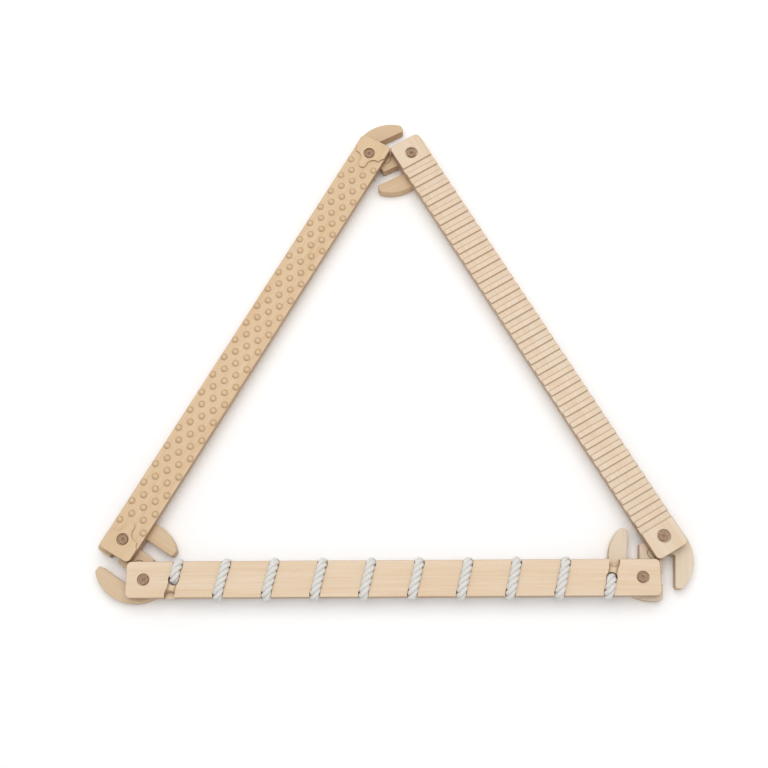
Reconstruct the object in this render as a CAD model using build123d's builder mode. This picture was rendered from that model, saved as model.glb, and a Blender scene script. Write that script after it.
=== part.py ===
from build123d import *
import os
from math import cos, pi, radians, sin, sqrt

# Three wooden balance beams for children. Each beam stands on two flat hook feet. The feet of
# neighbouring beams hook into each other, so the three beams close into a triangle.
# Lengths are millimetres and angles are degrees.

# The ring: six pivots, the long sides are the beams and the short sides are the hooked foot pairs.
PIVOT_SPAN = 750.0      # between the two pivots of one beam
FOOT_SPAN = 71.0        # between the pivots of two hooked feet
BEAM_NAMES = ("rope", "ridged", "studded")
BEAM_ENDS = {"rope": ("left", "right"), "ridged": ("right", "top"), "studded": ("top", "left")}
THROUGH = 1.0           # cutters run this far past what they cut
ALONG = 0.99            # cosine above which an edge counts as running in a direction

# Heights, from the floor up.
PAD_THICK = 2.0
FOOT_THICK = 18.0
PIVOT_GAP = 1.0
BEAM_THICK = 18.0
FOOT_LOW = PAD_THICK
FOOT_HIGH = FOOT_LOW + FOOT_THICK
BEAM_LOW = FOOT_HIGH + PIVOT_GAP
BEAM_HIGH = BEAM_LOW + BEAM_THICK

# Beams.
BEAM_WIDTH = 55.0
BEAM_OVERHANG = 27.0    # beyond each pivot
BEAM_CORNER = 8.0
BEAM_EDGE = 1.6
BEAM_LENGTH = PIVOT_SPAN + 2 * BEAM_OVERHANG

# Ridged beam: square grooves across it.
GROOVE_COUNT = 36
GROOVE_PITCH = 20.0
GROOVE_WIDTH = 10.0
GROOVE_DEPTH = 2.6
RIDGE_EDGE = 1.2        # chamfer on the ridges' long edges

# Studded beam: a lowered field with domed studs, in rows of three and two.
STUD_ROWS = 43
STUD_PITCH = 16.73
STUD_SPACING = 21.7     # between neighbours in a row of three
STUD_RADIUS = 5.5
STUD_RIM = 0.4          # straight part of a stud under its dome
STUD_ROOT = 0.5         # stud below the field, inside the beam
FIELD_DEPTH = 3.0
LOBE_RADIUS = 6.25      # tongue of full height where an end row's middle stud is left out
LOBE_PAST_ROW = 1.4
BAY_RADIUS = 13.0       # round bays beside the tongue
BAY_ACROSS = 19.0
BAY_PAST_ROW = 4.5
EDGE_BAY_RADIUS = 11.3  # bays that run out at the beam's sides
EDGE_BAY_ACROSS = 33.0
EDGE_BAY_PAST_ROW = 16.5

# Rope beam: ten slanted round grooves, two of them with a hole for a rope end.
ROPE_DIAMETER = 15.0
ROPE_TURNS = 10
ROPE_PITCH = 73.1
ROPE_SLANT = 13.3 / BEAM_WIDTH   # along the beam for each millimetre across it
ROPE_PROUD = 4.0        # rope centre above the top face, and below the bottom face
ROPE_INSET = 2.0        # rope centre inside the side faces
ROPE_BEND = 12.0
EMPTY_GROOVE_FLOOR = 4.0    # above the beam's underside
ROPE_CLEAR = 0.5
HOLE_RADIUS = 8.5
KNOT_RADIUS = 11.4
KNOT_POCKET_RADIUS = 12.2
KNOT_POCKET_DEPTH = 8.2
KNOT_CLEAR = 0.3
KNOT_ROUND = 3.2

# Hook foot, in its own axes: X along the slots, origin midway between the two pivots.
FOOT_RADIUS = 64.0
FOOT_TURN = 26.0        # from the line between the pivots to the slots
FOOT_EDGE = 1.2
STRIP_HALF = 17.7       # half the width of the solid strip between the two slots
CLAW_IN = 36.0          # straight inner edge of the claw
CLAW_TIP = 43.0
SLOT_END = -8.0
THUMB_X = -8.4
THUMB_Y = 3.9
SEAM_GAP = 0.5          # play between two hooked feet
FINGER_SIDE = 22.25
FINGER_END = -2.0
POCKET_SIDE = -38.0     # the pocket reaches past the other foot's finger, to under its beam
CLAW_OUTER_ROUND = 6.0
CLAW_INNER_ROUND = 4.5
SLOT_ROUND = 3.0
FINGER_ROUND = 2.4
FINGER_HOOK_ROUND = 1.2
POCKET_HOOK_ROUND = 1.5
POCKET_ROUND = 2.8
HEEL_ROUND = 5.0

# Pivot hardware: a sleeve nut from below and a bolt from above.
HEAD_RADIUS = 7.3
HEAD_THICK = 3.0
HEAD_POCKET_RADIUS = 9.6
HEAD_POCKET_DEPTH = 5.0
HEAD_SOCKET = 2.9       # centre to corner of the hexagon key socket
HEAD_SOCKET_DEPTH = 2.0
HEAD_CHAMFER = 0.6
SHANK_RADIUS = 3.0
SHANK_HOLE_RADIUS = 3.3
SHANK_LENGTH = 22.0
SLEEVE_RADIUS = 5.0
SLEEVE_IN_BEAM = 8.5
RUNNING_CLEARANCE = 0.05
FLANGE_RADIUS = 8.0
FLANGE_THICK = 2.2
FLANGE_POCKET_RADIUS = 8.6
FLANGE_POCKET_DEPTH = 3.2
FLANGE_GAP = 0.3
WASHER_RADIUS = 12.0
WASHER_THICK = 0.8

# Anti-slip pads under each foot.
PAD_RADIUS = 6.0
PAD_PLACES = ((12.0, 48.0), (-22.0, 48.0), (-47.0, -4.0))

# Worked out from the above.
CORNER_RADIUS = (PIVOT_SPAN / 2 + FOOT_SPAN / 4) / cos(radians(30))
BEAM_RADIUS = CORNER_RADIUS / 2 + FOOT_SPAN * sqrt(3) / 4
LAST_STUD_ROW = (STUD_ROWS - 1) / 2 * STUD_PITCH
ROPE_SIDE = BEAM_WIDTH / 2 - ROPE_INSET
ROPE_RADIUS = ROPE_DIAMETER / 2


def around(angle):
    """Unit vector at this angle in the floor's plane."""
    return Vector(cos(radians(angle)), sin(radians(angle)), 0)


def foot_axes(number, end, centre):
    """Plane of the foot at one end of a beam: its origin is midway between the hooked pivots."""
    corner = 210 + 120 * number if end < 0 else -30 + 120 * number
    turned = corner - 90 + FOOT_TURN + (0 if end < 0 else 180)
    return Plane(centre + around(corner) * CORNER_RADIUS, x_dir=around(turned))


def beam_axes(number, centre):
    """Plane of a beam: X along it, Y towards the middle of the triangle."""
    side = 120 * number
    return Plane(centre + around(side - 90) * BEAM_RADIUS, x_dir=around(side))


def draw_foot():
    """Outline of one hook foot, in its own axes."""
    thumb = sqrt(THUMB_X**2 + THUMB_Y**2)
    thumb_radius = thumb - SEAM_GAP / 2
    socket_radius = thumb + SEAM_GAP / 2
    meet = (THUMB_X * SEAM_GAP / 2 / thumb, THUMB_Y * SEAM_GAP / 2 / thumb)
    pocket_end = -FINGER_END + SEAM_GAP
    pocket_meet = (THUMB_X - sqrt(thumb_radius**2 - (pocket_end - THUMB_Y) ** 2), pocket_end)
    finger_meet = (-THUMB_X + sqrt(socket_radius**2 - (FINGER_END + THUMB_Y) ** 2), FINGER_END)
    below = -STRIP_HALF - THROUGH
    claw_top = sqrt(FOOT_RADIUS**2 - CLAW_TIP**2)
    heel = -sqrt(FOOT_RADIUS**2 - STRIP_HALF**2)
    away = (Align.MIN, Align.MIN)

    with BuildSketch() as outline:
        Circle(FOOT_RADIUS)
        with Locations((-FOOT_RADIUS, -STRIP_HALF)):
            Rectangle(2 * FOOT_RADIUS, FOOT_RADIUS, align=(Align.MIN, Align.MAX), mode=Mode.SUBTRACT)
        with Locations((FINGER_SIDE, STRIP_HALF)):
            Rectangle(FOOT_RADIUS, FOOT_RADIUS, align=(Align.MIN, Align.MAX), mode=Mode.SUBTRACT)
        with Locations((SLOT_END, STRIP_HALF)):
            Rectangle(2 * FOOT_RADIUS, CLAW_IN - STRIP_HALF, align=away, mode=Mode.SUBTRACT)
        with Locations((CLAW_TIP, 0)):
            Rectangle(FOOT_RADIUS, FOOT_RADIUS, align=away, mode=Mode.SUBTRACT)
        with BuildLine():
            Polyline((FINGER_SIDE, FINGER_END), (FINGER_SIDE, below), (POCKET_SIDE, below),
                     (POCKET_SIDE, pocket_end), pocket_meet)
            ThreePointArc(pocket_meet, (THUMB_X, THUMB_Y - thumb_radius), meet)
            ThreePointArc(meet, (-THUMB_X, -THUMB_Y + socket_radius), finger_meet)
            Line(finger_meet, (FINGER_SIDE, FINGER_END))
        make_face(mode=Mode.SUBTRACT)
        for place, radius in (
            ((CLAW_TIP, claw_top), CLAW_OUTER_ROUND),
            ((CLAW_TIP, CLAW_IN), CLAW_INNER_ROUND),
            ((SLOT_END, CLAW_IN), SLOT_ROUND),
            ((SLOT_END, STRIP_HALF), SLOT_ROUND),
            ((FINGER_SIDE, STRIP_HALF), SLOT_ROUND),
            ((FINGER_SIDE, FINGER_END), FINGER_ROUND),
            (finger_meet, FINGER_HOOK_ROUND),
            (pocket_meet, POCKET_HOOK_ROUND),
            ((POCKET_SIDE, pocket_end), POCKET_ROUND),
            ((POCKET_SIDE, -STRIP_HALF), POCKET_HOOK_ROUND),
            ((heel, -STRIP_HALF), HEEL_ROUND),
        ):
            fillet(outline.vertices().sort_by_distance(place)[0], radius)
    return outline.sketch


def feet_middle():
    """Middle of the box around the six feet, with the triangle's centre at zero."""
    feet = [foot_axes(number, end, Vector()).location * foot_outline
            for number in range(3) for end in (-1, 1)]
    box = Compound(children=feet).bounding_box()
    return (box.min + box.max) / 2


def save(part, name):
    part.label = name
    export_step(part, f"parts/{name}.step")


def pivot_in_foot():
    """Place of a foot's own pivot in its own axes."""
    return (-FOOT_SPAN / 2 * cos(radians(FOOT_TURN)), FOOT_SPAN / 2 * sin(radians(FOOT_TURN)))


def pivot_holes():
    """Bolt and sleeve holes at both ends of the beam in the part that is open."""
    with Locations((-PIVOT_SPAN / 2, 0, 0), (PIVOT_SPAN / 2, 0, 0)):
        low = (Align.CENTER, Align.CENTER, Align.MIN)
        Cylinder(SLEEVE_RADIUS, SLEEVE_IN_BEAM, align=low, mode=Mode.SUBTRACT)
        Cylinder(SHANK_HOLE_RADIUS, BEAM_THICK, align=low, mode=Mode.SUBTRACT)
    with Locations((-PIVOT_SPAN / 2, 0, BEAM_THICK), (PIVOT_SPAN / 2, 0, BEAM_THICK)):
        high = (Align.CENTER, Align.CENTER, Align.MAX)
        Cylinder(HEAD_POCKET_RADIUS, HEAD_POCKET_DEPTH, align=high, mode=Mode.SUBTRACT)


def rope_route(end_height):
    """Corner points of the rope, wound from one turn to the next, in the rope beam's axes."""
    over = BEAM_THICK + ROPE_PROUD
    under = -ROPE_PROUD
    shift = ROPE_SLANT * ROPE_SIDE
    points = []
    for turn in range(ROPE_TURNS):
        along = (turn - (ROPE_TURNS - 1) / 2) * ROPE_PITCH
        if turn > 0:
            points += [(along - shift, -ROPE_SIDE, under), (along - shift, -ROPE_SIDE, over)]
        else:
            points += [(along, 0, end_height), (along, 0, over)]
        if turn < ROPE_TURNS - 1:
            points += [(along + shift, ROPE_SIDE, over), (along + shift, ROPE_SIDE, under)]
        else:
            points += [(along, 0, over), (along, 0, end_height)]
    return points


def rope_tube(radius, end_height):
    """Tube along the rope's route, in the rope beam's axes, and the route's length."""
    with BuildPart() as tube:
        with BuildLine() as route:
            FilletPolyline(*rope_route(end_height), radius=ROPE_BEND)
        wire = route.wires()[0]
        with BuildSketch(Plane(wire @ 0, z_dir=wire % 0)):
            Circle(radius)
        sweep(path=wire)
    return tube.part, wire.length


def empty_groove(end):
    """Cutter from an end hole over the beam's edge and down its side, where the rope doesn't run."""
    along = end * (ROPE_TURNS - 1) / 2 * ROPE_PITCH
    side = end * ROPE_SIDE
    over = BEAM_THICK + ROPE_PROUD
    corner = (along + ROPE_SLANT * side, side, over)
    with BuildPart() as cutter:
        with BuildLine() as route:
            FilletPolyline((along, 0, over), corner, (*corner[:2], EMPTY_GROOVE_FLOOR), radius=ROPE_BEND)
        wire = route.wires()[0]
        with BuildSketch(Plane(wire @ 0, z_dir=wire % 0)):
            Circle(ROPE_RADIUS + ROPE_CLEAR)
        sweep(path=wire)
    return cutter.part


os.makedirs("parts", exist_ok=True)
foot_outline = draw_foot()
middle = feet_middle()
centre = Vector(-middle.X, -middle.Y, 0)
planes = {name: beam_axes(number, centre + Vector(0, 0, BEAM_LOW)) for number, name in enumerate(BEAM_NAMES)}

# Ridged beam.
with BuildPart(planes["ridged"]) as ridged_beam:
    with BuildSketch(planes["ridged"]):
        RectangleRounded(BEAM_LENGTH, BEAM_WIDTH, BEAM_CORNER)
    extrude(amount=BEAM_THICK)
    fillet(ridged_beam.edges().filter_by(Axis.Z, reverse=True), BEAM_EDGE)
    pivot_holes()
    with Locations((0, 0, BEAM_THICK)):
        with GridLocations(GROOVE_PITCH, 0, GROOVE_COUNT, 1):
            Box(GROOVE_WIDTH, BEAM_WIDTH + 2 * THROUGH, GROOVE_DEPTH * 2, mode=Mode.SUBTRACT)
    across = planes["ridged"].y_dir
    top = ridged_beam.faces().filter_by(Axis.Z).group_by(Axis.Z)[-1]
    chamfer(top.edges().filter_by(lambda edge: abs(edge.tangent_at(0.5).dot(across)) > ALONG), RIDGE_EDGE)
save(ridged_beam.part, "ridged_beam")

# Studded beam.
stud_places = []
for row in range(STUD_ROWS):
    along = (row - (STUD_ROWS - 1) / 2) * STUD_PITCH
    end_row = row in (0, STUD_ROWS - 1)
    across = (-1, 1) if end_row else (-1, 0, 1) if row % 2 == 0 else (-0.5, 0.5)
    stud_places += [(along, STUD_SPACING * step, BEAM_THICK - FIELD_DEPTH) for step in across]

dome_rise = FIELD_DEPTH - STUD_RIM
dome_radius = (STUD_RADIUS**2 + dome_rise**2) / (2 * dome_rise)
with BuildPart() as stud:
    with BuildSketch(Plane.XZ):
        with BuildLine():
            Polyline((0, FIELD_DEPTH), (0, -STUD_ROOT), (STUD_RADIUS, -STUD_ROOT), (STUD_RADIUS, STUD_RIM))
            RadiusArc((STUD_RADIUS, STUD_RIM), (0, FIELD_DEPTH), -dome_radius)
        make_face()
    revolve(axis=Axis.Z)

with BuildPart(planes["studded"]) as studded_beam:
    with BuildSketch(planes["studded"]):
        RectangleRounded(BEAM_LENGTH, BEAM_WIDTH, BEAM_CORNER)
    extrude(amount=BEAM_THICK)
    fillet(studded_beam.edges().filter_by(Axis.Z, reverse=True), BEAM_EDGE)
    pivot_holes()
    with BuildSketch(planes["studded"].offset(BEAM_THICK - FIELD_DEPTH)):
        bay_meet = LOBE_PAST_ROW + LOBE_RADIUS * (BAY_PAST_ROW - LOBE_PAST_ROW) / (LOBE_RADIUS + BAY_RADIUS)
        Rectangle(2 * (LAST_STUD_ROW + bay_meet), BEAM_WIDTH + 2 * THROUGH)
        for end in (-1, 1):
            with Locations((end * (LAST_STUD_ROW + LOBE_PAST_ROW), 0)):
                Circle(LOBE_RADIUS, mode=Mode.SUBTRACT)
            with Locations((end * (LAST_STUD_ROW + BAY_PAST_ROW), BAY_ACROSS),
                           (end * (LAST_STUD_ROW + BAY_PAST_ROW), -BAY_ACROSS)):
                Circle(BAY_RADIUS)
            with Locations((end * (LAST_STUD_ROW + EDGE_BAY_PAST_ROW), EDGE_BAY_ACROSS),
                           (end * (LAST_STUD_ROW + EDGE_BAY_PAST_ROW), -EDGE_BAY_ACROSS)):
                Circle(EDGE_BAY_RADIUS)
    extrude(amount=FIELD_DEPTH + THROUGH, mode=Mode.SUBTRACT)
    with Locations(*stud_places):
        add(stud.part)
save(studded_beam.part, "studded_beam")

# Rope, wound nine times round its beam, and the two knots that hold its ends.
knot_top = KNOT_POCKET_DEPTH - KNOT_CLEAR
rope_solid, rope_length = rope_tube(ROPE_RADIUS, knot_top)
rope_cutter = rope_tube(ROPE_RADIUS + ROPE_CLEAR, knot_top)[0]
with BuildPart(planes["rope"]) as rope:
    add(rope_solid)
save(rope.part, "rope")
print("rope length", round(rope_length, 1), "volume / (section x length)",
      round(rope.part.volume / (pi * ROPE_RADIUS**2 * rope_length), 4))

# Rope beam.
last_turn = (ROPE_TURNS - 1) / 2 * ROPE_PITCH
with BuildPart(planes["rope"]) as rope_beam:
    with BuildSketch(planes["rope"]):
        RectangleRounded(BEAM_LENGTH, BEAM_WIDTH, BEAM_CORNER)
    extrude(amount=BEAM_THICK)
    fillet(rope_beam.edges().filter_by(Axis.Z, reverse=True), BEAM_EDGE)
    pivot_holes()
    for end in (-1, 1):
        with Locations((end * last_turn, 0, 0)):
            low = (Align.CENTER, Align.CENTER, Align.MIN)
            Cylinder(HOLE_RADIUS, BEAM_THICK + THROUGH, align=low, mode=Mode.SUBTRACT)
            Cylinder(KNOT_POCKET_RADIUS, KNOT_POCKET_DEPTH, align=low, mode=Mode.SUBTRACT)
        add(empty_groove(end), mode=Mode.SUBTRACT)
    add(rope_cutter, mode=Mode.SUBTRACT)
save(rope_beam.part, "rope_beam")

for end, side in ((-1, "left"), (1, "right")):
    with BuildPart(planes["rope"]) as knot:
        with Locations((end * last_turn, 0, KNOT_CLEAR)):
            low = (Align.CENTER, Align.CENTER, Align.MIN)
            Cylinder(KNOT_RADIUS, knot_top - KNOT_CLEAR, align=low)
        fillet(knot.edges().filter_by(GeomType.CIRCLE), KNOT_ROUND)
    save(knot.part, f"rope_knot_{side}")

# Feet with their pads, and the pivot hardware, one set at each end of each beam.
for number, beam in enumerate(BEAM_NAMES):
    for end, corner in zip((-1, 1), BEAM_ENDS[beam]):
        place = f"{beam}_{corner}"
        ground = foot_axes(number, end, centre)
        pivot = ground.from_local_coords(pivot_in_foot())
        axis = Plane(pivot)

        with BuildPart() as foot:
            with BuildSketch(ground.offset(FOOT_LOW)):
                add(foot_outline)
            extrude(amount=FOOT_THICK)
            fillet(foot.faces().sort_by(Axis.Z)[-1].outer_wire().edges(), FOOT_EDGE)
            fillet(foot.faces().sort_by(Axis.Z)[0].outer_wire().edges(), FOOT_EDGE)
            with Locations(axis.offset(FOOT_LOW).location):
                low = (Align.CENTER, Align.CENTER, Align.MIN)
                Cylinder(SLEEVE_RADIUS + RUNNING_CLEARANCE, FOOT_THICK, align=low, mode=Mode.SUBTRACT)
                Cylinder(FLANGE_POCKET_RADIUS, FLANGE_POCKET_DEPTH, align=low, mode=Mode.SUBTRACT)
        save(foot.part, f"foot_{place}")

        with BuildPart() as pads:
            with BuildSketch(ground):
                with Locations(*PAD_PLACES):
                    Circle(PAD_RADIUS)
            extrude(amount=PAD_THICK)
        save(pads.part, f"pads_{place}")

        with BuildPart() as washer:
            with BuildSketch(axis.offset(FOOT_HIGH)):
                Circle(WASHER_RADIUS)
                Circle(SLEEVE_RADIUS + RUNNING_CLEARANCE, mode=Mode.SUBTRACT)
            extrude(amount=WASHER_THICK)
        save(washer.part, f"washer_{place}")

        flange_top = FOOT_LOW + FLANGE_POCKET_DEPTH - FLANGE_GAP
        head_low = BEAM_HIGH - HEAD_POCKET_DEPTH
        with BuildPart() as sleeve:
            with BuildSketch(axis.offset(flange_top)):
                Circle(SLEEVE_RADIUS)
            extrude(amount=BEAM_LOW + SLEEVE_IN_BEAM - flange_top)
            with BuildSketch(axis.offset(flange_top)):
                Circle(FLANGE_RADIUS)
            extrude(amount=-FLANGE_THICK)
            with BuildSketch(axis.offset(head_low - SHANK_LENGTH)):
                Circle(SHANK_RADIUS)
            extrude(amount=SHANK_LENGTH, mode=Mode.SUBTRACT)
            with BuildSketch(axis.offset(flange_top - FLANGE_THICK)):
                RegularPolygon(HEAD_SOCKET, 6)
            extrude(amount=HEAD_SOCKET_DEPTH, mode=Mode.SUBTRACT)
        save(sleeve.part, f"sleeve_nut_{place}")

        with BuildPart() as bolt:
            with BuildSketch(axis.offset(head_low)):
                Circle(HEAD_RADIUS)
            extrude(amount=HEAD_THICK)
            chamfer(bolt.edges().sort_by(Axis.Z)[-1], HEAD_CHAMFER)
            with BuildSketch(axis.offset(head_low)):
                Circle(SHANK_RADIUS)
            extrude(amount=-SHANK_LENGTH)
            with BuildSketch(axis.offset(head_low + HEAD_THICK)):
                RegularPolygon(HEAD_SOCKET, 6)
            extrude(amount=-HEAD_SOCKET_DEPTH, mode=Mode.SUBTRACT)
        save(bolt.part, f"bolt_{place}")
        print(place, "pivot", tuple(round(value, 4) for value in pivot))
print("triangle centre", tuple(round(value, 4) for value in centre))
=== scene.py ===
# %% [markdown]
# # A triangle of balance beams
#
# Three low wooden beams for children to walk on lie in a triangle. One has rounded studs, one has
# ridges and one is wound with a white rope. Each beam stands on two flat wooden feet, and the feet
# of neighbouring beams hook into each other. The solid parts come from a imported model, which this
# lesson never moves. Blender adds what the solids can't show: the grain of the wood, the twisted
# strands of the rope, the plating on the bolts, and the light.

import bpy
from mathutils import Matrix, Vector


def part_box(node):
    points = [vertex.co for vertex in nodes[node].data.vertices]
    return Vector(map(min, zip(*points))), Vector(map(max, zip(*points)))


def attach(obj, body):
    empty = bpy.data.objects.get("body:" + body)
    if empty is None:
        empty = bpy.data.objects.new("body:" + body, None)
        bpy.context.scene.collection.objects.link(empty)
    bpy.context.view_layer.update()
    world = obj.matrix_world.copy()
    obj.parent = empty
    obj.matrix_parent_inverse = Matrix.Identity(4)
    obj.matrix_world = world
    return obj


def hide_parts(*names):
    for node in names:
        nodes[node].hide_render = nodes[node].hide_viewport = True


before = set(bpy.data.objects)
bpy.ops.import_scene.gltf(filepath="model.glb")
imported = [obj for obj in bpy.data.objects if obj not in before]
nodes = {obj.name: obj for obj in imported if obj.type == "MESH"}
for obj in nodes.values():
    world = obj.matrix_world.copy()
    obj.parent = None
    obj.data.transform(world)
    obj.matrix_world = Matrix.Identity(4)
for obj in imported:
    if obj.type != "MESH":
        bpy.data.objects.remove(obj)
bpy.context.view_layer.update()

# %% [markdown]
# Everything below is worked out in metres, so a millimetre gets a name of its own. A colour is
# easiest to pick as a hex code, as in a paint program, but a shader wants linear light. One function
# turns one into the other, and one more adds a node to a material with its inputs and settings.

# %% Helpers for colours and nodes
from math import atan2, pi, radians, tau

import bpy
import numpy as np
from mathutils import Vector

MM = 0.001


def linear(hex_colour):
    """The linear colour, with alpha, of an sRGB hex code."""
    parts = [int(hex_colour[i:i + 2], 16) / 255 for i in (1, 3, 5)]
    return tuple(p / 12.92 if p <= 0.04045 else ((p + 0.055) / 1.055) ** 2.4 for p in parts) + (1.0,)


def add(tree, kind, inputs=None, **settings):
    """Adds a node. An input is filled with a value or linked to another node's output."""
    node = tree.nodes.new("ShaderNode" + kind)
    for name, value in settings.items():
        setattr(node, name, value)
    for name, value in (inputs or {}).items():
        if isinstance(value, bpy.types.NodeSocket):
            tree.links.new(value, node.inputs[name])
        else:
            node.inputs[name].default_value = value
    return node


print("white is", linear("#ffffff"))

# %% [markdown]
# ## The camera
#
# The set is seen from high above its near side, with the rope-wound beam at the bottom of the
# picture. The camera is placed first, because every finish is judged through it. A longish lens from
# almost two metres away keeps the triangle's sides straight and its far corner nearly as wide as
# the near ones.

# %% Camera
CAMERA_PLACE = (0.0426, -0.5943, 1.7724)
CAMERA_TURN = (radians(16.94), radians(1.826), radians(-0.059))

camera_data = bpy.data.cameras.new("camera")
camera_data.lens = 53.87
camera_data.sensor_width = 36.0
camera = bpy.data.objects.new("camera", camera_data)
camera.location = CAMERA_PLACE
camera.rotation_euler = CAMERA_TURN
bpy.context.scene.collection.objects.link(camera)
bpy.context.scene.camera = camera
print("camera is", round(Vector(CAMERA_PLACE).length, 3), "metres from the middle of the floor")

# %% [markdown]
# ## Floor and light
#
# A product like this is shown on a sheet of white paper that is lit so brightly that only the
# soft shadow beside each beam is left of it. A white sky gives even light from all round. One large
# soft lamp hangs over the triangle. It brightens the tops of the beams, leaves their sides darker
# and makes soft shadows on both sides of each. That is what makes an 18 mm thick beam look thick.

# %% Floor
FLOOR_SIZE = 12.0
floor_half = FLOOR_SIZE / 2
floor_mesh = bpy.data.meshes.new("paper_floor")
floor_mesh.from_pydata([(-floor_half, -floor_half, 0), (floor_half, -floor_half, 0),
                        (floor_half, floor_half, 0), (-floor_half, floor_half, 0)], [], [(0, 1, 2, 3)])
floor = bpy.data.objects.new("paper_floor", floor_mesh)
bpy.context.scene.collection.objects.link(floor)

paper = bpy.data.materials.new("matt_white_paper")
paper.use_nodes = True
paper_shader = paper.node_tree.nodes["Principled BSDF"]
paper_shader.inputs["Base Color"].default_value = linear("#fdfdfd")
paper_shader.inputs["Roughness"].default_value = 0.9
paper_shader.inputs["Specular IOR Level"].default_value = 0.1
floor_mesh.materials.append(paper)
print("floor is", FLOOR_SIZE, "metres square")

# %% Sky and lamp
SKY_STRENGTH = 0.63
LAMP_PLACE = (0.0, 0.25, 2.6)
LAMP_SIZE = 2.4
LAMP_POWER = 41.0

world = bpy.data.worlds.new("white_sky")
world.use_nodes = True
world.node_tree.nodes["Background"].inputs["Color"].default_value = linear("#ffffff")
world.node_tree.nodes["Background"].inputs["Strength"].default_value = SKY_STRENGTH
bpy.context.scene.world = world
bpy.context.scene.view_settings.view_transform = "Standard"

lamp_data = bpy.data.lights.new("soft_lamp", "AREA")
lamp_data.size = LAMP_SIZE
lamp_data.energy = LAMP_POWER
lamp = bpy.data.objects.new("soft_lamp", lamp_data)
lamp.location = LAMP_PLACE
lamp.rotation_euler = (-Vector(LAMP_PLACE)).to_track_quat("-Z", "Y").to_euler()
bpy.context.scene.collection.objects.link(lamp)
print("lamp gives", LAMP_POWER, "watts")

# %% [markdown]
# ## Wood
#
# The beams are solid beech and the feet are birch plywood, both under a thin satin lacquer. Both
# woods are pale and even. Up close, beech has fine straight streaks along the grain and short brown
# flecks, which are its rays cut across. Upright surfaces, on the wall of a groove or round a stud,
# are painted browner than the top: this is painted shade, which deepens the shade in the hollows.
# Those that cut the grain across are browner still: end grain drinks the lacquer and is really
# darker, and on the groove walls the rest of it is painted shade.
#
# The streaks are noise that is stretched about eighty times along the grain. A real fleck is only a
# third of a millimetre wide, which is too fine to show from two metres away, so the flecks are drawn
# twice as coarse. The pattern is laid in the wood's own block, not on its surface, so it runs on
# correctly over edges, studs and ridges.

# %% The wood's pattern
STREAK_LENGTH = 110 * MM
STREAK_WIDTH = 1.3 * MM
FLECK_LENGTH = 9 * MM
FLECK_WIDTH = 0.7 * MM
CLOUD_LENGTH = 260 * MM
CLOUD_WIDTH = 22 * MM
BOARD_DEPTH = 5 * MM
# painted shade: the brown that upright walls and end grain are darkened towards
SHADE_AND_END_GRAIN_BROWN = "#8c6745"


def along_grain(tree, place, length, width, detail):
    """Noise with features of this length along the grain and this width across it."""
    stretched = add(tree, "Mapping", {"Vector": place, "Scale": (1 / length, 1 / width, 1 / BOARD_DEPTH)})
    return add(tree, "TexNoise", {"Vector": stretched.outputs["Vector"], "Scale": 1.0,
                                  "Detail": detail, "Roughness": 0.6}).outputs["Fac"]


def scaled(tree, value, low, high, to_low, to_high):
    """A value spread from one range onto another."""
    return add(tree, "MapRange", {"Value": value, "From Min": low, "From Max": high,
                                  "To Min": to_low, "To Max": to_high}).outputs["Result"]


def blended(tree, factor, first, second, blend="MIX"):
    """Two colours mixed by a factor."""
    return add(tree, "MixRGB", {"Fac": factor, "Color1": first, "Color2": second},
               blend_type=blend).outputs["Color"]


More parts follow.
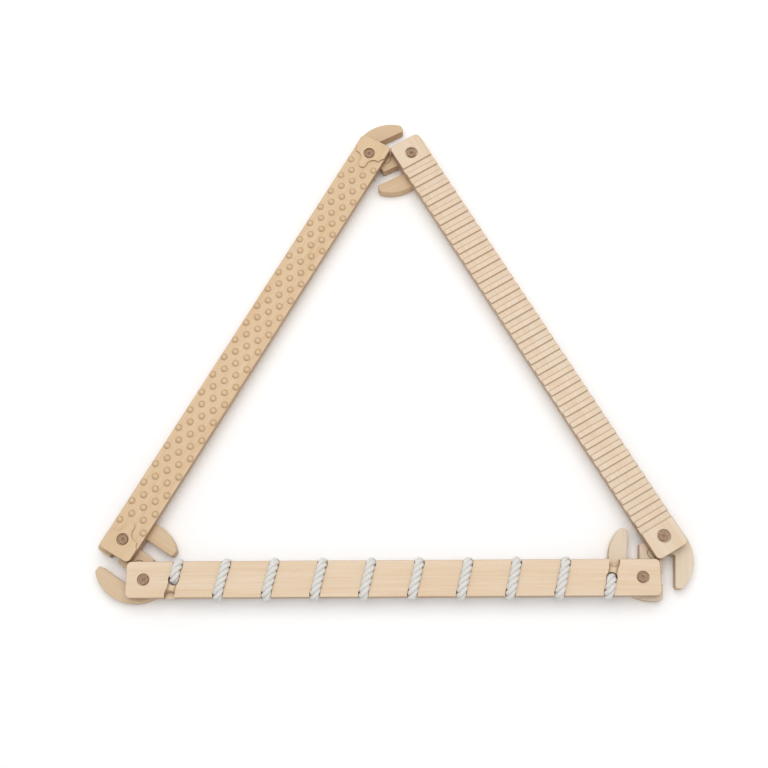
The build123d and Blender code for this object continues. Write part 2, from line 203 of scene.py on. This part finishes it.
def wood(name, grain_angle, board, pale, warm, plies=False):
    """Lacquered wood whose grain runs at this angle on the floor. Each board is cut from its own place."""
    material = bpy.data.materials.new(name)
    material.use_nodes = True
    tree = material.node_tree
    shader = tree.nodes["Principled BSDF"]
    coords = add(tree, "TexCoord")
    place = add(tree, "Mapping", {"Vector": coords.outputs["Object"], "Rotation": (0, 0, -grain_angle),
                                  "Location": (0.37 * board, 1.3 * board, 0.19 * board)}).outputs["Vector"]
    facing = add(tree, "Mapping", {"Vector": coords.outputs["Normal"], "Rotation": (0, 0, -grain_angle)},
                 vector_type="NORMAL").outputs["Vector"]
    facing_parts = add(tree, "SeparateXYZ", {"Vector": facing})

    streaks = along_grain(tree, place, STREAK_LENGTH, STREAK_WIDTH, 5.0)
    clouds = along_grain(tree, place, CLOUD_LENGTH, CLOUD_WIDTH, 2.0)
    flecks = along_grain(tree, place, FLECK_LENGTH, FLECK_WIDTH, 1.0)

    tone = scaled(tree, streaks, 0.32, 0.68, 0.0, 1.0)
    colour = blended(tree, tone, linear(pale), linear(warm))
    cloud_tone = scaled(tree, clouds, 0.3, 0.7, 0.0, 0.5)
    colour = blended(tree, cloud_tone, colour, linear("#f3e6d4"), "MULTIPLY")
    fleck_tone = scaled(tree, flecks, 0.66, 0.74, 0.0, 0.22)
    colour = blended(tree, fleck_tone, colour, linear("#9a7450"))

    if plies:
        colour = ply_edges(tree, coords, facing_parts, colour)
    else:
        # painted shade: upright surfaces are darkened towards a shaded brown
        lying = add(tree, "Math", {0: facing_parts.outputs["Z"]}, operation="ABSOLUTE").outputs["Value"]
        colour = blended(tree, scaled(tree, lying, 0.45, 0.96, 0.66, 0.0), colour, linear(SHADE_AND_END_GRAIN_BROWN))
    # end grain is really darker; on groove walls part of this darkening is painted shade
    across = add(tree, "Math", {0: facing_parts.outputs["X"]}, operation="ABSOLUTE").outputs["Value"]
    end_tone = scaled(tree, across, 0.35, 0.95, 0.0, 0.15 if plies else 0.45)
    colour = blended(tree, end_tone, colour, linear(SHADE_AND_END_GRAIN_BROWN))
    tree.links.new(colour, shader.inputs["Base Color"])

    roughness = scaled(tree, streaks, 0.3, 0.7, 0.40, 0.54)
    tree.links.new(roughness, shader.inputs["Roughness"])
    shader.inputs["IOR"].default_value = 1.5
    shader.inputs["Specular IOR Level"].default_value = 0.35
    shader.inputs["Coat Weight"].default_value = 0.12
    shader.inputs["Coat Roughness"].default_value = 0.3
    raised = add(tree, "Math", {0: streaks, 1: flecks}, operation="SUBTRACT").outputs["Value"]
    bump = add(tree, "Bump", {"Height": raised, "Strength": 0.22, "Distance": 0.25 * MM})
    tree.links.new(bump.outputs["Normal"], shader.inputs["Normal"])
    return material


# %% [markdown]
# Plywood is sheets of veneer glued one on another, with every other sheet turned by a quarter turn. On
# a cut edge the sheets show as bands: pale where the cut runs along a sheet's grain and browner where
# it meets the sheet's end. There are thirteen sheets in 18 mm, so a band is 1.4 mm high. The bands are
# a wave that depends only on height, and they show only where the surface stands upright.

# %% Plywood edges
PLY_COUNT = 13
foot_low, foot_high = (corner[2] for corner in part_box("foot_rope_left"))
ply_height = (foot_high - foot_low) / PLY_COUNT
print("one sheet of the plywood is", round(ply_height / MM, 2), "mm thick")


def ply_edges(tree, coords, facing_parts, colour):
    """The face colour, with bands of veneer where the surface stands upright."""
    height = add(tree, "SeparateXYZ", {"Vector": coords.outputs["Object"]}).outputs["Z"]
    wander = add(tree, "TexNoise", {"Vector": coords.outputs["Object"], "Scale": 30.0, "Detail": 1.0})
    shift = scaled(tree, wander.outputs["Fac"], 0.0, 1.0, -0.12 * ply_height, 0.12 * ply_height)
    sheet = add(tree, "Math", {0: height, 1: shift}, operation="ADD").outputs["Value"]
    sheet = scaled(tree, sheet, foot_low, foot_low + 2 * ply_height, 0.0, tau)
    wave = add(tree, "Math", {0: sheet}, operation="SINE").outputs["Value"]
    bands = scaled(tree, wave, -0.35, 0.35, 0.0, 1.0)
    upright = add(tree, "Math", {0: facing_parts.outputs["Z"]}, operation="ABSOLUTE").outputs["Value"]
    upright = scaled(tree, upright, 0.25, 0.6, 1.0, 0.0)
    banded = blended(tree, bands, linear("#b8936a"), linear("#dcc09a"))
    return blended(tree, upright, colour, banded)


# %% [markdown]
# Each beam has its grain along its length. Its two pivot bolts say which way that is, so the angle
# doesn't have to be written down. The studded beam and the upper feet are cut from slightly yellower
# boards than the others. The grain of a foot runs along its claw.

# %% Give each wooden part its board
BEAM_ENDS = {"rope": ("left", "right"), "ridged": ("right", "top"), "studded": ("top", "left")}
BEAM_TONES = {"rope": ("#e3cfb7", "#d9c0a1"), "ridged": ("#e4d2bc", "#d9c3a8"),
              "studded": ("#dcc3a2", "#d0b18a")}
FOOT_TONES = {"left": ("#d9c3a6", "#cdb18d"), "right": ("#e2d2be", "#d9c7ae"),
              "top": ("#d7bea0", "#cbaf8a")}
FOOT_TURN = radians(26)


def middle(node):
    """Middle of a solid part's box."""
    low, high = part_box(node)
    return (Vector(low) + Vector(high)) / 2


def finish_node(node, material):
    """Gives a solid part this finish on all its surfaces."""
    slots = nodes[node].data.materials
    for index in range(len(slots)):
        slots[index] = material
    if not slots:
        slots.append(material)


for board, (beam, ends) in enumerate(BEAM_ENDS.items()):
    first, last = (middle(f"bolt_{beam}_{end}") for end in ends)
    run = last - first
    grain = atan2(run.y, run.x)
    finish_node(f"{beam}_beam", wood(f"lacquered_beech_{beam}_beam", grain, board + 1, *BEAM_TONES[beam]))
    for end in ends:
        foot = f"foot_{beam}_{end}"
        hooked = next(f"{other}_{end}" for other in BEAM_ENDS if other != beam and end in BEAM_ENDS[other])
        to_partner = middle(f"bolt_{hooked}") - middle(f"bolt_{beam}_{end}")
        slots_angle = atan2(to_partner.y, to_partner.x) + FOOT_TURN
        finish_node(foot, wood(f"birch_plywood_{foot}", slots_angle, 5 + 2 * board + ends.index(end),
                               *FOOT_TONES[end], plies=True))
    print(beam, "beam's grain runs at", round(grain * 180 / pi, 1), "degrees")

# %% [markdown]
# ## Metal and rubber
#
# A bolt head here is steel with a bronze-brown plating, brushed by the tumbling barrel it was plated
# in, so it is softly shiny and slightly mottled. The sleeve nuts and washers under the beams are
# zinc plated, which is greyer and shows faint crystals. The pads under the feet are moulded black
# rubber with a fine grainy skin. All three are the same build with different numbers, so one function
# makes them.

# %% Plated metal and moulded rubber
def mottled(name, base, patches, patch_size, metallic, roughness, bump_height):
    """A finish whose colour and gloss wander between two close values, in patches of this size."""
    material = bpy.data.materials.new(name)
    material.use_nodes = True
    tree = material.node_tree
    shader = tree.nodes["Principled BSDF"]
    coords = add(tree, "TexCoord")
    noise = add(tree, "TexNoise", {"Vector": coords.outputs["Object"], "Scale": 1 / patch_size,
                                   "Detail": 3.0, "Roughness": 0.6}).outputs["Fac"]
    amount = scaled(tree, noise, 0.35, 0.65, 0.0, 1.0)
    tree.links.new(blended(tree, amount, linear(base), linear(patches)), shader.inputs["Base Color"])
    gloss = scaled(tree, noise, 0.3, 0.7, roughness - 0.07, roughness + 0.07)
    tree.links.new(gloss, shader.inputs["Roughness"])
    shader.inputs["Metallic"].default_value = metallic
    bump = add(tree, "Bump", {"Height": noise, "Strength": 0.3, "Distance": bump_height})
    tree.links.new(bump.outputs["Normal"], shader.inputs["Normal"])
    return material


bronze = mottled("bronze_plated_steel", "#b0937a", "#9c8066", 2.2 * MM, 0.6, 0.68, 0.1 * MM)
zinc = mottled("zinc_plated_steel", "#b9b8b3", "#94938f", 1.6 * MM, 1.0, 0.36, 0.05 * MM)
pad_rubber = mottled("moulded_black_rubber", "#2b2b2a", "#1f1f1f", 0.8 * MM, 0.0, 0.75, 0.12 * MM)

HARDWARE = {"bolt": bronze, "sleeve_nut": zinc, "washer": zinc, "pads": pad_rubber}
for beam, ends in BEAM_ENDS.items():
    for end in ends:
        for part, material in HARDWARE.items():
            finish_node(f"{part}_{beam}_{end}", material)
print("finished", len(HARDWARE), "kinds of small part at", 2 * len(BEAM_ENDS), "pivots")

# %% [markdown]
# ## The rope's line
#
# The rope starts in a hole in the middle of the beam, goes over the top, round both sides and under
# the beam, ten times over, and ends in a hole again. It crosses the top on a slant, in grooves. A
# smooth spline through points makes a good rope line: one point in the middle of each crossing and two
# at each corner of the beam, so that the spline turns a tight, round corner there. A loop places
# the points of one turn after another.

# %% Lay the rope's line round the beam
ROPE_DIAMETER = 15 * MM
ROPE_TURNS = 10
ROPE_PITCH = 73.1 * MM
ROPE_SLANT = 13.3 / 55      # along the beam for each metre across it
ROPE_SIDE = 25.5 * MM       # rope centre from the beam's centre line, at the beam's sides
ROPE_PROUD = 4 * MM         # rope centre above the top face, and below the bottom face
CORNER_CUT = 7.0 * MM       # how far before a corner the line starts to turn

beam_low, beam_high = (Vector(corner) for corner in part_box("rope_beam"))
beam_middle = (beam_low + beam_high) / 2
over = beam_high.z + ROPE_PROUD
under = beam_low.z - ROPE_PROUD
rope_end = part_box("rope_knot_left")[1][2] - 4 * MM     # inside its binding
last_turn = (ROPE_TURNS - 1) / 2 * ROPE_PITCH


def on_top(turn_x, across):
    """Point of a top crossing, this far across the beam."""
    return Vector((turn_x + ROPE_SLANT * across, across, over))


def underneath(turn_x, across):
    """Point of the run under the beam that leads to the next turn."""
    slant = ROPE_SLANT - ROPE_PITCH / 2 / ROPE_SIDE
    return Vector((turn_x + ROPE_PITCH / 2 + slant * across, across, under))


def at_side(turn_x, side, height):
    """Point beside the beam: side is 1 or -1."""
    return Vector((turn_x + side * ROPE_SLANT * ROPE_SIDE, side * ROPE_SIDE, height))


edge = ROPE_SIDE - CORNER_CUT
line = [Vector((-last_turn, 0, rope_end)), Vector((-last_turn, 0, over - CORNER_CUT)),
        on_top(-last_turn, CORNER_CUT)]
for turn in range(ROPE_TURNS - 1):
    turn_x = turn * ROPE_PITCH - last_turn
    line += [on_top(turn_x, edge), at_side(turn_x, 1, over - CORNER_CUT)]
    line.append(at_side(turn_x, 1, under + CORNER_CUT))
    line += [underneath(turn_x, edge), underneath(turn_x, 0), underneath(turn_x, -edge)]
    turn_x += ROPE_PITCH
    line += [at_side(turn_x, -1, under + CORNER_CUT), at_side(turn_x, -1, over - CORNER_CUT)]
    line.append(on_top(turn_x, -edge))
    if turn < ROPE_TURNS - 2:
        line.append(on_top(turn_x, 0))
line += [on_top(last_turn, -CORNER_CUT), Vector((last_turn, 0, over - CORNER_CUT)),
         Vector((last_turn, 0, rope_end))]
line = [point + Vector((beam_middle.x, beam_middle.y, 0)) for point in line]
print("the rope's line has", len(line), "points")

# %% [markdown]
# Blender can turn such a spline into a row of points that lie close together. That row is then read
# off at even steps, because the strands must twist by the same amount in each step. The order of the
# spline is set after its points, or it would stay a row of straight runs.

# %% Read the line off at even steps
STEP = 1.3 * MM


def smooth_line(points):
    """Points of a smooth spline that follows these points."""
    curve = bpy.data.curves.new("line", "CURVE")
    curve.dimensions = "3D"
    curve.resolution_u = 10
    spline = curve.splines.new("NURBS")
    spline.points.add(len(points) - 1)
    for spot, point in zip(spline.points, points):
        spot.co = (*point, 1)
    spline.order_u = 3
    spline.use_endpoint_u = True
    carrier = bpy.data.objects.new("line", curve)
    bpy.context.scene.collection.objects.link(carrier)
    mesh = bpy.data.meshes.new_from_object(carrier)
    smooth = np.array([vertex.co[:] for vertex in mesh.vertices])
    bpy.data.objects.remove(carrier)
    bpy.data.curves.remove(curve)
    bpy.data.meshes.remove(mesh)
    return smooth


def even_steps(points, step):
    """The same line with its points this far apart, and its length."""
    along = np.concatenate([[0], np.cumsum(np.linalg.norm(np.diff(points, axis=0), axis=1))])
    count = int(along[-1] / step) + 1
    wanted = np.linspace(0, along[-1], count)
    return np.stack([np.interp(wanted, along, points[:, axis]) for axis in range(3)], axis=1), along[-1]


rope_line, rope_length = even_steps(smooth_line(line), STEP)
print("the rope is", round(rope_length, 3), "metres long")

# %% [markdown]
# ## The rope's strands
#
# Rope of this kind is three strands twisted round each other. Three equal strands that touch are each
# 0.46 of the rope's thickness across. They go round once in every 31 mm of rope, which is the
# rope's lay. A strand is a tube swept along its own screw line. To keep the tube from spinning, each
# ring of it is turned out of the ring before it by the smallest turn that faces the new direction.

# %% Sweep the strands
ROPE_LAY = 31 * MM
STRAND_RADIUS = ROPE_DIAMETER / 2 / (1 + 2 / 3**0.5)
STRAND_SIDES = 14


def steady_axes(points):
    """Two directions square to the line at each of its points, which turn as little as possible."""
    ahead = np.gradient(points, axis=0)
    ahead /= np.linalg.norm(ahead, axis=1)[:, None]
    side = np.cross(ahead[0], (0.0, 0.0, 1.0) if abs(ahead[0][2]) < 0.9 else (1.0, 0.0, 0.0))
    sides = []
    for direction in ahead:
        side = side - direction * side.dot(direction)
        side /= np.linalg.norm(side)
        sides.append(side)
    sides = np.array(sides)
    return sides, np.cross(ahead, sides)


def screw(points, radius, lay, start):
    """A screw line round a line, with one turn in each lay."""
    sides, ups = steady_axes(points)
    steps = np.linalg.norm(np.diff(points, axis=0), axis=1)
    angle = start + tau / lay * np.concatenate([[0], np.cumsum(steps)])
    return points + radius * (np.cos(angle)[:, None] * sides + np.sin(angle)[:, None] * ups)


def tube(points, radius, sides_count):
    """Vertices, faces and texture places of a closed tube. A place is (turns round, metres along)."""
    sides, ups = steady_axes(points)
    angles = np.arange(sides_count) * tau / sides_count
    rings = points[:, None] + radius * (np.cos(angles)[None, :, None] * sides[:, None]
                                        + np.sin(angles)[None, :, None] * ups[:, None])
    along = np.concatenate([[0], np.cumsum(np.linalg.norm(np.diff(points, axis=0), axis=1))])
    faces, places = [], []
    for ring in range(len(points) - 1):
        for side in range(sides_count):
            after = (side + 1) % sides_count
            here, there = ring * sides_count, (ring + 1) * sides_count
            faces.append((here + side, here + after, there + after, there + side))
            u0, u1 = side / sides_count, (side + 1) / sides_count
            places += [(u0, along[ring]), (u1, along[ring]), (u1, along[ring + 1]), (u0, along[ring + 1])]
    last = (len(points) - 1) * sides_count
    for cap in (tuple(reversed(range(sides_count))), tuple(last + side for side in range(sides_count))):
        faces.append(cap)
        places += [(0.0, 0.0)] * sides_count
    return rings.reshape(-1, 3), faces, places


def tubes_piece(name, tubes, material):
    """One smooth mesh made of several tubes."""
    vertices, faces, places = [], [], []
    for tube_vertices, tube_faces, tube_places in tubes:
        offset = len(vertices)
        vertices += [tuple(vertex) for vertex in tube_vertices]
        faces += [tuple(corner + offset for corner in face) for face in tube_faces]
        places += tube_places
    mesh = bpy.data.meshes.new(name)
    mesh.from_pydata(vertices, [], faces)
    layer = mesh.uv_layers.new(name="yarn")
    layer.data.foreach_set("uv", np.array(places, dtype=np.float32).ravel())
    mesh.shade_smooth()
    mesh.materials.append(material)
    piece = bpy.data.objects.new(name, mesh)
    bpy.context.scene.collection.objects.link(piece)
    return piece


# %% [markdown]
# The strands are spun from many yarns of soft white cotton. The yarns twist the other way from the
# strands, which is why on a good rope they seem to run straight along it. Each yarn is a fine ridge:
# a wave across the strand, tilted by the same angle as the strands but against them. The cotton
# is dull and slightly fuzzy, so the finish has a little sheen. The gaps between yarns are painted
# greyer, which is painted shade in the creases.

# %% Cotton finish
YARNS_IN_STRAND = 9
strand_tilt = tau * (ROPE_DIAMETER / 2 - STRAND_RADIUS) / ROPE_LAY
yarn_turns = strand_tilt / (tau * STRAND_RADIUS)    # turns round the strand in each metre along it


def cotton_rope():
    """Soft white yarns that lie at a slant on each strand."""
    material = bpy.data.materials.new("twisted_white_cotton")
    material.use_nodes = True
    tree = material.node_tree
    shader = tree.nodes["Principled BSDF"]
    place = add(tree, "UVMap", uv_map="yarn").outputs["UV"]
    parts = add(tree, "SeparateXYZ", {"Vector": place})
    twist = add(tree, "Math", {0: parts.outputs["Y"], 1: yarn_turns}, operation="MULTIPLY").outputs["Value"]
    turned = add(tree, "Math", {0: parts.outputs["X"], 1: twist}, operation="SUBTRACT").outputs["Value"]
    phase = add(tree, "Math", {0: turned, 1: tau * YARNS_IN_STRAND}, operation="MULTIPLY").outputs["Value"]
    wave = add(tree, "Math", {0: phase}, operation="SINE").outputs["Value"]
    yarns = scaled(tree, wave, -1.0, 1.0, 0.0, 1.0)
    coords = add(tree, "TexCoord")
    fibres = add(tree, "TexNoise", {"Vector": coords.outputs["Object"], "Scale": 900.0, "Detail": 3.0})
    patches = add(tree, "TexNoise", {"Vector": coords.outputs["Object"], "Scale": 45.0, "Detail": 2.0})
    # painted shade: the yarn wave darkens the gaps between yarns to grey
    colour = blended(tree, scaled(tree, yarns, 0.0, 0.7, 0.0, 1.0), linear("#bfbbb4"), linear("#f0eeea"))
    worn = scaled(tree, patches.outputs["Fac"], 0.35, 0.65, 0.0, 0.35)
    colour = blended(tree, worn, colour, linear("#e3e0da"))
    tree.links.new(colour, shader.inputs["Base Color"])
    shader.inputs["Roughness"].default_value = 0.85
    shader.inputs["Specular IOR Level"].default_value = 0.2
    shader.inputs["Sheen Weight"].default_value = 0.25
    shader.inputs["Sheen Roughness"].default_value = 0.4
    height = add(tree, "Math", {0: yarns, 1: fibres.outputs["Fac"]}, operation="ADD").outputs["Value"]
    bump = add(tree, "Bump", {"Height": height, "Strength": 0.7, "Distance": 0.35 * MM})
    tree.links.new(bump.outputs["Normal"], shader.inputs["Normal"])
    return material


cotton = cotton_rope()
strands = [tube(screw(rope_line, ROPE_DIAMETER / 2 - STRAND_RADIUS, ROPE_LAY, tau * strand / 3),
                STRAND_RADIUS, STRAND_SIDES) for strand in range(3)]
rope = tubes_piece("rope_strands", strands, cotton)
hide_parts("rope")
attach(rope, "rope_beam")
print("each strand is", round(2 * STRAND_RADIUS / MM, 1), "mm thick")
print("the rope has", len(rope.data.polygons), "faces")

# %% [markdown]
# ## The rope's ends
#
# Under the beam each end of the rope is bound with cord, so that it can't slip back through its hole
# and doesn't fray. The binding is one cord that goes twice round, over and under itself. Such a knot
# follows a ring, and it wavers in and out and up and down one and a half times in each round, so that
# it closes after two rounds.

# %% Bind the two ends
BINDING_RADIUS = 7.6 * MM
BINDING_WAVER = 1.9 * MM
BINDING_STRAND = 1.85 * MM


def binding_line(centre):
    """The closed line of the knot round this point."""
    angle = np.linspace(0, 2 * tau, 240, endpoint=False)
    reach = BINDING_RADIUS + BINDING_WAVER * np.cos(1.5 * angle)
    return np.stack([centre.x + reach * np.cos(angle), centre.y + reach * np.sin(angle),
                     centre.z + BINDING_WAVER * np.sin(1.5 * angle)], axis=1)


def closed_tube(points, radius, sides_count):
    """A tube along a closed line: its last ring joins its first."""
    return tube(np.concatenate([points, points[:2]]), radius, sides_count)


for side in ("left", "right"):
    ring = binding_line(middle(f"rope_knot_{side}"))
    knot = tubes_piece(f"rope_binding_{side}", [closed_tube(ring, BINDING_STRAND, 12)], cotton)
    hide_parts(f"rope_knot_{side}")
    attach(knot, "rope_beam")
    across = 2 * (BINDING_RADIUS + BINDING_WAVER + BINDING_STRAND)
    print(side, "binding is", round(across / MM, 1), "mm across")
